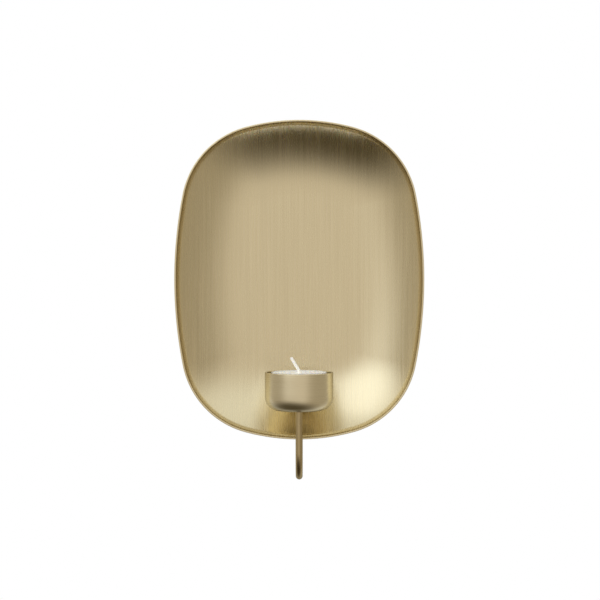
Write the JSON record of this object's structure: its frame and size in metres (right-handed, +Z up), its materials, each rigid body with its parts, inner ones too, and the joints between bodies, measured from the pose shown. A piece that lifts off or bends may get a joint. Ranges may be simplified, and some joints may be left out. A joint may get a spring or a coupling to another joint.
{
  "type": "wall candle sconce",
  "caption": "Wall sconce for one tealight: a shallow rounded brass dish as reflector, a round cup on a rod bent under the dish, and a keyhole hanger behind.",
  "frame": {"origin": "centre of the hanger's keyhole entry, on the wall plane", "axes": "+Z is up, -Y faces the room and +Y the wall, +X is to the right as seen from the room"},
  "size_m": [0.18, 0.0698, 0.26],
  "materials": {
    "dish_brass": "satin, brushed up and down, clear lacquered",
    "rod_brass": "satin, drawn rod",
    "cup_brass": "satin, turned",
    "fixing_brass": "plain, formed",
    "zinc_steel": "zinc plated",
    "tin_plate": "bright tin plate",
    "bumper_rubber": "matte, moulded",
    "clear_plastic": "clear, thin wall",
    "white_wax": "smooth paraffin wax",
    "wick_cotton": "braided cotton dipped in wax"
  },
  "bodies": {
    "sconce": {"reflector_dish": "dish_brass", "weld_studs": "fixing_brass", "hanger_bracket": "zinc_steel", "hanger_washers": "zinc_steel", "hanger_nuts": "zinc_steel", "support_arm": "rod_brass", "upper_saddle": "fixing_brass", "lower_saddle": "fixing_brass", "saddle_washers": "zinc_steel", "saddle_nuts": "zinc_steel", "wall_bumpers": "bumper_rubber", "candle_cup": "cup_brass", "cup_screw": "zinc_steel"},
    "tealight": {"tealight_shell": "clear_plastic", "tealight_wax": "white_wax", "wick_tab": "tin_plate", "wick": "wick_cotton"}
  },
  "joints": [
    {"name": "tealight_lift", "type": "slide", "parent": "sconce", "child": "tealight", "axis": [0, 0, 1], "range_m": [0, 0.03]}
  ]
}
